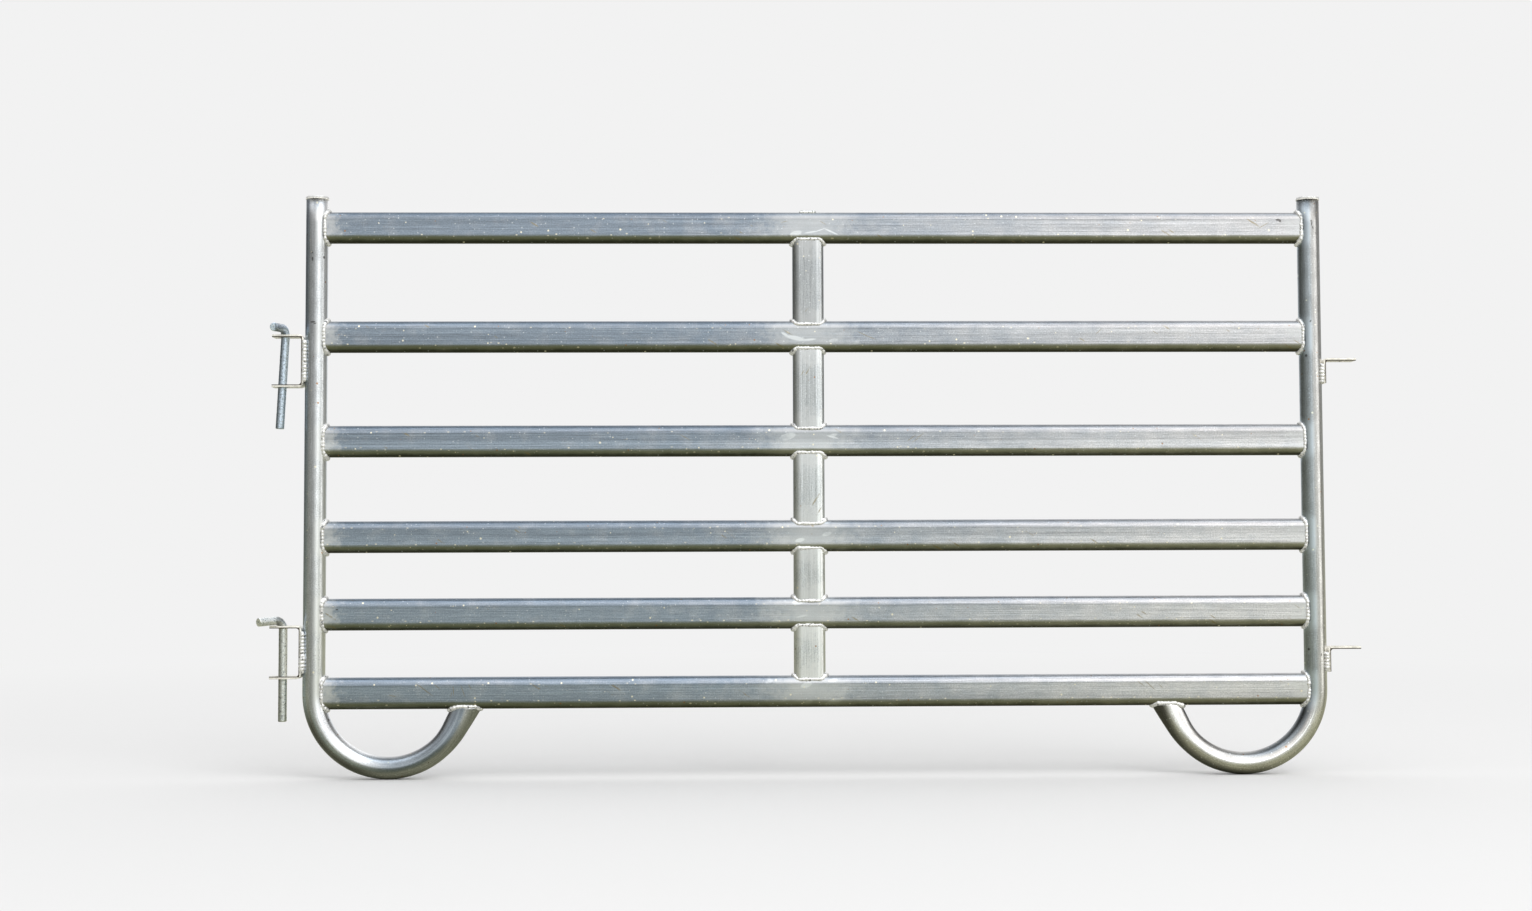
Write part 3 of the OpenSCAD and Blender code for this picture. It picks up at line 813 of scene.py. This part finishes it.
RAIL_SMEARS = {
    "rail_2": ((-30, -6, 14, 2.0, 12),),
    "rail_4": ((30, 6, 14, 2.2, -15),),
    "rail_5": ((-40, -4, 24, 5, -12), (-60, 3, 9, 3, -28), (-14, -7, 16, 2.5, 5)),
    "rail_6": ((-9, -10, 15, 1.8, 8), (29, -9, 18, 2.0, -25), (8, -6, 12, 1.2, 20)),
}
RAIL_PITS = {
    "rail_2": ((-905, 10, 3, 1.5, 0),),
    "rail_6": ((888, 14, 5.5, 2.6, 0), (892, 12, 3, 3, 0)),
}

# Painted light: each stay's brightness from the lowest up, and its painted shade and highlight as greys
# across a stay from left to right
STAY_PAINTED_LIGHT = (1.42, 1.15, 1.10, 0.97, 0.74)
STAY_SHADES = (
    *((0.0, 0.72), (0.07, 0.84), (0.18, 0.78), (0.27, 0.52)),
    *((0.5, 0.48), (0.74, 0.5), (0.88, 0.55), (1.0, 0.55)),
)

# Painted shade and highlight: the uprights' greys across and up each tube, and their pits, as round_tube_zinc
# takes them
LEFT_UPRIGHT = {
    "shades": (
        *((0.0, 1.1), (0.05, 1.08), (0.12, 0.82), (0.28, 0.83), (0.33, 0.76), (0.37, 0.59), (0.42, 0.47)),
        *((0.48, 0.37), (0.56, 0.34), (0.62, 0.41), (0.72, 0.47), (0.82, cool(0.5)), (0.92, cool(0.43))),
    ),
    "bend_shades": (
        *((0.0, 0.80), (0.1, 0.76), (0.22, 0.64), (0.32, 0.62), (0.42, 0.50), (0.5, 0.52)),
        *((0.6, cool(0.42)), (0.7, 0.22), (0.82, 0.12), (0.92, 0.18), (1.0, 0.2)),
    ),
    "end_shades": (
        *((0.0, 0.34), (0.2, cool(0.30)), (0.3, cool(0.20)), (0.42, cool(0.22)), (0.52, cool(0.19))),
        *((0.6, cool(0.24)), (0.7, 0.42), (0.8, 0.42), (1.0, 0.34)),
    ),
    "rise": ((0.0, 0.52), (0.3, 0.5), (0.8, 0.41), (0.93, 0.42), (1.0, 0.48)),
    "pits": ((820, 4.5, 5, 1.8, 4), (832, 5, 2, 1.5, 0), (700, 3, 1.8, 6, 0), (697, -1, 1.2, 4, 20)),
}
RIGHT_UPRIGHT = {
    "shades": (
        *((0.0, cool(0.46)), (0.2, cool(0.49)), (0.38, cool(0.52)), (0.52, 0.48), (0.64, 0.58)),
        *((0.72, 0.58), (0.79, 0.46), (0.86, 0.95), (0.92, 1.2), (1.0, 1.1)),
    ),
    "bend_shades": (
        *((0.0, cool(0.2)), (0.1, cool(0.22)), (0.2, cool(0.31)), (0.3, 0.47), (0.4, 0.58)),
        *((0.5, 0.78), (0.6, 0.92), (0.7, 0.9), (0.8, 0.7), (1.0, 0.6)),
    ),
    "end_shades": (
        *((0.0, 0.5), (0.12, 0.54), (0.22, 0.62), (0.3, 0.56), (0.4, 0.76), (0.5, 0.86)),
        *((0.6, 0.84), (0.7, 0.7), (0.8, 0.36), (0.92, 0.14), (1.0, 0.12)),
    ),
    "rise": ((0.0, 0.58), (0.25, 0.6), (0.75, 0.5), (0.88, 0.51), (0.94, 0.44), (1.0, 0.4)),
    "pits": (
        *((888, 1.5, 5, 1.5, 12), (880, 3.5, 4, 1.4, -18), (893, 0.5, 2, 2, 0)),
        *((700, -4, 3, 1.6, 30), (64, 6, 4, 1.3, 0)),
    ),
}

# What metal mirrors from the ground (0) to overhead (1), and the greys round it, with the front at 0.5
SURROUND_HEIGHTS = (
    *((0.0, "#8A8B80"), (0.48, "#A9AFB3"), (0.51, "#C3CACF"), (0.58, "#DDE1E4")),
    *((0.66, "#FAFAFA"), (0.80, "#FFFFFF"), (0.95, "#E6EBF0"), (1.0, "#C0CDDB")),
)
SURROUND_BEARINGS = (
    *((0.0, 0.55), (0.06, 0.48), (0.13, 0.07), (0.20, 0.06), (0.30, 0.15), (0.39, 0.36), (0.44, 0.55)),
    *((0.50, 0.86), (0.55, 1.0), (0.61, 0.84), (0.67, 0.42), (0.75, 0.20), (0.87, 0.07), (0.94, 0.48)),
    (1.0, 0.55),
)


# Operators --------------------------------------------------------------------------------------------------


class SHEEP_OT_stage(bpy.types.Operator):
    """Sets the camera, the pale floor, the lamps and the world"""

    bl_idname = "sheep.stage"
    bl_label = "Stage"

    def execute(self, context):
        stage = settings().stage
        scene = context.scene
        scene.view_settings.view_transform = "Standard"
        self.set_camera(scene, stage)
        self.lay_floor(scene, stage)
        self.hang_lamps(scene, stage)
        self.surround(scene, stage)
        return {"FINISHED"}

    def set_camera(self, scene, stage):
        """The photograph's viewpoint, from the height of the lower rails and looking slightly up."""
        camera = bpy.data.objects.new("camera", bpy.data.cameras.new("camera"))
        camera.data.sensor_width = 36
        camera.data.lens = stage.lens
        camera.data.clip_end = 1000
        turn, tilt, roll = (Matrix.Rotation(math.radians(angle), 4, axis) for angle, axis in CAMERA_TURNS)
        camera.matrix_world = Matrix.Translation(CAMERA_AT) @ turn @ tilt @ roll
        scene.collection.objects.link(camera)
        scene.camera = camera

    def lay_floor(self, scene, stage):
        """A wide floor that meets the backdrop's colour in the distance and keeps the panel's shadow."""
        shape = bmesh.new()
        bmesh.ops.create_circle(shape, cap_ends=True, segments=96, radius=FLOOR_R)
        mesh = bpy.data.meshes.new("floor")
        shape.to_mesh(mesh)
        shape.free()
        floor = bpy.data.objects.new("floor", mesh)
        scene.collection.objects.link(floor)
        material, node = new_material("painted_floor")
        away = node("VectorMath.LENGTH", (node("TexCoord", out=3),), out=1)
        far = node("MapRange", (away, *FLOOR_FADE), **SMOOTH)
        path = node("LightPath")
        seen = node("Math.MULTIPLY", (path, far))
        mirrored = path.node.outputs["Is Glossy Ray"]
        paint = node("Mix", {0: mirrored, 6: stage.floor, 7: stage.turf}, **RGBA)
        matt = node("BsdfDiffuse", {"Color": paint})
        pale = node("Emission", {"Color": stage.backdrop})
        node("OutputMaterial", (node("MixShader", (seen, matt, pale)),))
        mesh.materials.append(material)

    def hang_lamps(self, scene, stage):
        """A large soft lamp above the viewer, and beside the lugs a strip that only the metal mirrors."""
        # Name, place, aim, width, height and power
        lamps = (
            ("key", (3.6, -6.6, 6.8), (0, 0, 0.2), 5.4, 4.2, stage.key),
            ("side", (2.0, -0.65, 0.6), (0.95, 0, 0.6), 0.55, 1.9, stage.side),
        )
        for name, at, aim, wide, tall, power in lamps:
            data = bpy.data.lights.new(name, "AREA")
            data.shape = "RECTANGLE"
            data.size = wide
            data.size_y = tall
            data.energy = power
            lamp = bpy.data.objects.new(name, data)
            lamp.location = at
            lamp.rotation_euler = (Vector(aim) - Vector(at)).to_track_quat("-Z", "Y").to_euler()
            lamp.visible_camera = False
            lamp.visible_glossy = name == "side"
            lamp.visible_diffuse = name == "key"
            scene.collection.objects.link(lamp)

    def surround(self, scene, stage):
        """The world: pale to the camera, and to metal a soft surround, brightest in front to the right."""
        world = bpy.data.worlds.new("soft_surround")
        world.use_nodes = True
        world.node_tree.nodes.clear()
        scene.world = world
        node = partial(add, world.node_tree)
        right, back, up = node("SeparateXYZ", (node("TexCoord", out=0),)).node.outputs
        front = node("Math.MULTIPLY", (back, -1.0))
        bearing = node("Math.ARCTAN2", (right, front))
        bearing = node("MapRange", (bearing, -math.pi, math.pi))
        by_bearing = node("ValToRGB", (bearing,), stops=SURROUND_BEARINGS)
        heights = [(level, linear(colour)) for level, colour in SURROUND_HEIGHTS]
        by_height = node("MapRange", (up, -1, 1))
        by_height = node("ValToRGB", (by_height,), stops=heights)
        overhead = node("MapRange", (up, 0.5, 0.95), **SMOOTH)
        leaning = node("MapRange", (front, -0.45, 0.15, 0.32, 0.90), **SMOOTH)
        around = node("Mix", {0: overhead, 6: by_bearing, 7: leaning}, **RGBA)
        mirrored = node("Mix", {0: 1.0, 6: by_height, 7: around}, **TIMES)
        path = node("LightPath")
        rays = (path.node.outputs["Is Glossy Ray"], path.node.outputs["Is Transmission Ray"])
        metal = node("Math.MAXIMUM", rays)
        soft = node("Background", {"Color": linear("#FFFFFF"), "Strength": stage.ambient})
        seen_in_metal = node("Background", {"Color": mirrored, "Strength": stage.surround})
        pale = node("Background", {"Color": stage.backdrop, "Strength": 1.0})
        light = node("MixShader", (metal, soft, seen_in_metal))
        node("OutputWorld", (node("MixShader", (path, light, pale)),))


class SHEEP_OT_uprights(bpy.types.Operator):
    """Makes the two uprights, each one tube down its post and round its foot, squashed under the rail"""

    bl_idname = "sheep.uprights"
    bl_label = "Uprights"

    def execute(self, context):
        zinc = settings().zinc
        # The right upright takes the darker zinc, a painted shade
        ways = ((-1, "left", zinc.post, LEFT_UPRIGHT), (1, "right", zinc.far_post_shaded, RIGHT_UPRIGHT))
        for side, name, base, seen in ways:
            skin = round_tube_zinc("galvanised_round_tube_" + name, side, 20 + side, base, **seen)
            mesh = self.bend(side, name + "_upright_tube")
            place_piece(name + "_upright_tube", mesh, skin, "frame", (name + "_upright",))
        return {"FINISHED"}

    def places(self):
        """Where a ring stands along the right upright, from the top of the post to the end of the foot."""
        places = [Matrix.Translation((POST_X, 0, POST_TOP + (SKID_Z - POST_TOP) * k / 20)) for k in range(20)]
        middle = Matrix.Translation((POST_X - SKID_R, 0, SKID_Z))
        rim = Matrix.Translation((SKID_R, 0, 0))
        whole = SKID_R * (math.pi - SKID_LEAN)
        for k in range(85):
            gone = min(k * RING_STEP, whole)
            past = max(0.0, k * RING_STEP - whole)
            if past > SKID_TAIL - 2 * MM:
                past = SKID_TAIL
            t = min(1.0, max(0.0, (gone + past - whole + SQUASH_REACH) / (SQUASH_REACH + SKID_TAIL)))
            t = t * t * (3 - 2 * t)
            wide, thick = (1 + t * (half / POST_R - 1) for half in (SKID_END_HALF_W, SKID_END_HALF_T))
            squash = Matrix.Diagonal((wide, thick, 1, 1))
            level = Matrix.Identity(4)
            level[2][0] = -math.tan(SKID_LEAN) * min(1.0, past / SKID_TAIL)
            on_arc = middle @ Matrix.Rotation(gone / SKID_R, 4, "Y") @ rim
            places.append(on_arc @ Matrix.Translation((0, 0, -past)) @ level @ squash)
            if past == SKID_TAIL:
                break
        return places

    def bend(self, side, name):
        """The upright's tube, grown ring by ring from its top and closed at both ends."""
        places = self.places()
        shape = bmesh.new()
        bmesh.ops.create_circle(shape, segments=72, radius=POST_R)
        bmesh.ops.transform(shape, matrix=places[0], verts=shape.verts)
        edges = shape.edges[:]
        for before, after in zip(places, places[1:]):
            grown = bmesh.ops.extrude_edge_only(shape, edges=edges)["geom"]
            verts = [g for g in grown if isinstance(g, bmesh.types.BMVert)]
            rim = set(verts)
            edges = [g for g in grown if isinstance(g, bmesh.types.BMEdge) and rim.issuperset(g.verts)]
            bmesh.ops.transform(shape, matrix=after @ before.inverted(), verts=verts)
        ends = [e for e in shape.edges if e.is_boundary]
        bmesh.ops.holes_fill(shape, edges=ends, sides=0)
        bmesh.ops.transform(shape, matrix=Matrix.Diagonal((side, 1, 1, 1)), verts=shape.verts)
        bmesh.ops.recalc_face_normals(shape, faces=shape.faces)
        for face in shape.faces:
            face.smooth = len(face.verts) < 5
        mesh = bpy.data.meshes.new(name)
        shape.to_mesh(mesh)
        shape.free()
        return mesh


class SHEEP_OT_rails(bpy.types.Operator):
    """Finishes the six rails"""

    bl_idname = "sheep.rails"
    bl_label = "Rails"

    def execute(self, context):
        for k, (rail, z, painted_tones) in enumerate(zip(RAILS, RAIL_Z, RAIL_PAINTED_SHADES)):
            # A rail's painted shade and highlight across it
            shades = [(0.0, painted_tones[0]), *zip(RAIL_TONE_PLACES, painted_tones), (1.0, painted_tones[3])]
            marks = {"scratches": RAIL_SCRATCHES, "smears": RAIL_SMEARS, "pits": RAIL_PITS}
            marks = {kind: of_rails.get(rail, ()) for kind, of_rails in marks.items()}
            skin = oval_tube_zinc("galvanised_oval_" + rail, (0, 0, z), k + 1, shades, RAIL_END_X, **marks)
            wear(rail, skin)
        return {"FINISHED"}


class SHEEP_OT_stays(bpy.types.Operator):
    """Finishes the short stays between the rails"""

    bl_idname = "sheep.stays"
    bl_label = "Centre stays"

    def execute(self, context):
        for k, (stay, painted_brightness) in enumerate(zip(STAYS, STAY_PAINTED_LIGHT)):
            low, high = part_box(stay)
            middle = (STAY_X, 0, (low[2] + high[2]) / 2)
            half = (high[2] - low[2]) / 2 - STAY_LAP
            # A stay's painted brightness times its painted shade and highlight
            shades = [(at, min(1.0, painted_brightness * shade)) for at, shade in STAY_SHADES]
            wear(stay, oval_tube_zinc("galvanised_oval_" + stay, middle, k + 9, shades, half, True))
        return {"FINISHED"}


class SHEEP_OT_caps(bpy.types.Operator):
    """Makes the pressed caps, with their slightly uneven rims, and the thin seams under them"""

    bl_idname = "sheep.caps"
    bl_label = "Post caps"

    def execute(self, context):
        zinc = settings().zinc
        skin = thick_zinc("galvanised_cap", zinc.cap, 9, 0.36, 0.5, linear("#9C9D9A"), 0.36, metallic=0.3)
        stain = linear("#8E9092")
        seam = thick_zinc("galvanised_cap_seam", zinc.bar, 5, 0.4, 0.55, stain, 0.40, metallic=0.15)
        runs = []
        for side, name in ((-1, "left"), (1, "right")):
            mesh = self.press(side, name + "_pressed_cap")
            place_piece(name + "_pressed_cap", mesh, skin, "frame", (name + "_post_cap",))
            ring = []
            for k in range(60):
                angle = 2 * math.pi * k / 60
                out = (POST_R + 0.3 * MM) * Vector((math.cos(angle), math.sin(angle), 0))
                ring.append((Vector((side * POST_X, 0, POST_TOP - 0.4 * MM)) + out, 0.8 * MM))
            runs.append(along_run(ring, True, 90 + side))
        mesh = sweep("cap_seams", runs, 3)
        roughen(mesh, 0.2 * MM, 4 * MM)
        place_piece("cap_seams", mesh, seam, "frame", ("cap_welds",))
        return {"FINISHED"}

    def press(self, side, name):
        """A cap spun from its profile, with a wavy rim, on top of its post."""
        shape = bmesh.new()
        # Out over the top, round the rim and back under it, as (radius, height)
        profile = ((0.0, CAP_T), (0.6 * CAP_R, CAP_T), (CAP_R - 1.5 * MM, CAP_T - 0.2 * MM))
        profile += ((CAP_R - 0.4 * MM, CAP_T - 1.0 * MM), (CAP_R, 0.5 * CAP_T), (CAP_R - 0.2 * MM, 0.5 * MM))
        profile += ((CAP_R - 0.8 * MM, 0.0), (0.5 * CAP_R, 0.0), (0.0, 0.0))
        verts = [shape.verts.new((r, 0, z)) for r, z in profile]
        edges = [shape.edges.new(pair) for pair in zip(verts, verts[1:])]
        whole = {"cent": (0, 0, 0), "axis": (0, 0, 1), "angle": 2 * math.pi, "steps": 72, "use_merge": True}
        bmesh.ops.spin(shape, geom=verts + edges, **whole)
        bmesh.ops.remove_doubles(shape, verts=shape.verts, dist=1e-6)
        for v in shape.verts:
            out = Vector((v.co.x, v.co.y, 0))
            if out.length > 0.8 * CAP_R:
                v.co += out.normalized() * 0.5 * MM * noise.noise(out * 130 + Vector((0, 0, 5 * side)))
                v.co.z += 0.35 * MM * noise.noise(out * 90 + Vector((3 * side, 0, 9)))
        bmesh.ops.translate(shape, verts=shape.verts, vec=(side * POST_X, 0, POST_TOP))
        mesh = bpy.data.meshes.new(name)
        settle(shape, mesh)
        mesh.set_sharp_from_angle(angle=math.radians(50))
        return mesh


class SHEEP_OT_flat_bars(bpy.types.Operator):
    """Makes the pin brackets and the lugs of flat bar, with worn edges"""

    bl_idname = "sheep.flat_bars"
    bl_label = "Brackets and lugs"

    def execute(self, context):
        zinc = settings().zinc
        thick = BAR_T / MM
        for node in ("upper_pin_bracket", "lower_pin_bracket", "upper_lug", "lower_lug"):
            low, high = (Vector(corner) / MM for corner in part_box(node))
            name = "galvanised_" + node
            if "bracket" in node:
                fold = (high.x - thick, 1, (low.z + high.z) / 2, (high.z - low.z) / 2 - thick)
                skin = thick_zinc(name, zinc.bar, 13, 0.34, 0.48, linear("#8B8778"), 0.34, 0.6, 0.4, fold)
            else:
                fold = (low.x + thick, -1, high.z - thick, 0)
                skin = thick_zinc(name, zinc.lug, 11, 0.40, 0.55, linear("#6F6A5C"), 0.36, 0.6, 0.35, fold)
            place_piece(node + "_bar", sharp_bar(node), skin, "frame", (node,))
        return {"FINISHED"}


class SHEEP_OT_drop_pins(bpy.types.Operator):
    """Makes the drop pins, whose thick zinc is worn and lumpy"""

    bl_idname = "sheep.drop_pins"
    bl_label = "Drop pins"

    def execute(self, context):
        zinc = settings().zinc
        axis = next(j["axis"] for j in frame["joints"] if j["name"] == "upper_pin_lift")
        pins = (
            ("upper_pin", math.asin(axis[0]), UPPER_PIN_TURN, zinc.pin),
            ("lower_pin", 0.0, LOWER_PIN_TURN, zinc.low_pin),
        )
        for node, lean, turn, base in pins:
            run = pin_run(node, lean, turn)
            end = run[0][0][0] / MM
            rod = (end.x - end.z * math.tan(lean), lean)
            skin = thick_zinc("galvanised_" + node, base, 3.4, 0.30, 0.5, linear("#7C8387"), 0.42, rod=rod)
            mesh = sweep(node + "_bar", [run], 10)
            roughen(mesh, 0.16 * MM, 6 * MM)
            mesh.set_sharp_from_angle(angle=math.radians(38))
            place_piece(node + "_bar", mesh, skin, node, (node,))
        return {"FINISHED"}


class SHEEP_OT_welds(bpy.types.Operator):
    """Lays the rippled weld beads in place of the plain ones"""

    bl_idname = "sheep.welds"
    bl_label = "Weld beads"

    def execute(self, context):
        zinc = settings().zinc
        skin = thick_zinc("galvanised_weld_bead", zinc.bead, 5, 0.28, 0.45, linear("#55575A"), 0.40, 0.9, 0.6)
        edges = [(k, z, y) for k, z in enumerate(COUPLING_Z) for y in (-BAR_HALF_W, BAR_HALF_W)]

        def beside(side, bead, seed):
            """Beads along both edges of the webs of a side's two flat bars."""
            inset, low, high = bead
            x = side * (POST_X + POST_R - inset)
            return [upright_run(x, y, z + low, z + high, seed + 3 * k + y) for k, z, y in edges]

        beads = {
            "left_rail": [rail_end_run(i, -1) for i in range(6)],
            "right_rail": [rail_end_run(i, 1) for i in range(6)],
            "stay": [stay_end_run(i, False) for i in range(5)] + [stay_end_run(i, True) for i in range(1, 6)],
            "skid": [skid_end_run(-1), skid_end_run(1)],
            "bracket": beside(-1, BRACKET_BEAD, 20),
            "lug": beside(1, LUG_BEAD, 50),
        }
        for where, runs in beads.items():
            mesh = sweep(where + "_beads", runs, 3)
            roughen(mesh, 0.7 * MM, 7 * MM)
            place_piece(where + "_beads", mesh, skin, "frame", (where + "_welds",))
        return {"FINISHED"}


class SHEEP_OT_top_pad(bpy.types.Operator):
    """Lays the low pad of weld on the top rail"""

    bl_idname = "sheep.top_pad"
    bl_label = "Pad on the top rail"

    def execute(self, context):
        zinc = settings().zinc
        skin = thick_zinc("galvanised_pad", zinc.bead, 5, 0.3, 0.5, linear("#7D8378"), 0.48, 0.8, 0.8)
        low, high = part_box("top_rail_pad")
        level = RAIL_Z[5] + RAIL_HALF_H - 0.2 * MM
        runs = []
        for k, y in enumerate((-3.2 * MM, 0.4 * MM, 3.6 * MM)):
            pairs = []
            start, length = low[0] + (k + 1) * MM, high[0] - low[0] - 2 * (k + 1) * MM
            for n in range(25):
                t = n / 24
                rounded = math.sqrt(max(0.03, 1 - max(0.0, 1 - min(t, 1 - t) * 9) ** 2))
                pairs.append((Vector((start + t * length, y, level)), 4.0 * MM * rounded))
            runs.append(along_run(pairs, False, 30 + k))
        mesh = sweep("top_rail_pad_bead", runs, 3)
        roughen(mesh, 0.6 * MM, 6 * MM)
        place_piece("top_rail_pad_bead", mesh, skin, "frame", ("top_rail_pad",))
        return {"FINISHED"}


OPERATORS = (
    SHEEP_OT_stage,
    SHEEP_OT_uprights,
    SHEEP_OT_rails,
    SHEEP_OT_stays,
    SHEEP_OT_caps,
    SHEEP_OT_flat_bars,
    SHEEP_OT_drop_pins,
    SHEEP_OT_welds,
    SHEEP_OT_top_pad,
)


class SHEEP_PT_sidebar(bpy.types.Panel):
    """Lists the sheep panel's settings and the steps that make it"""

    bl_idname = "SHEEP_PT_sidebar"
    bl_label = "Sheep panel"
    bl_space_type = "VIEW_3D"
    bl_region_type = "UI"
    bl_category = "Sheep panel"

    def draw(self, context):
        column = self.layout.column()
        for group in ("zinc", "welds", "stage"):
            values = getattr(context.scene.sheep_panel, group)
            for name in values.__annotations__:
                column.prop(values, name)
        for operator in OPERATORS:
            column.operator(operator.bl_idname)


CLASSES = (SheepPanelZinc, SheepPanelWelds, SheepPanelStage, SheepPanelSettings, *OPERATORS, SHEEP_PT_sidebar)


def register():
    """Registers the classes and hangs the settings on the scene."""
    for kind in CLASSES:
        bpy.utils.register_class(kind)
    bpy.types.Scene.sheep_panel = PointerProperty(type=SheepPanelSettings)


def unregister():
    """Takes the settings and the classes away again."""
    del bpy.types.Scene.sheep_panel
    for kind in reversed(CLASSES):
        bpy.utils.unregister_class(kind)


def main():
    """Makes every piece in order."""
    register()
    for operator in OPERATORS:
        group, name = operator.bl_idname.split(".")
        getattr(getattr(bpy.ops, group), name)()


if __name__ == "__main__":
    main()
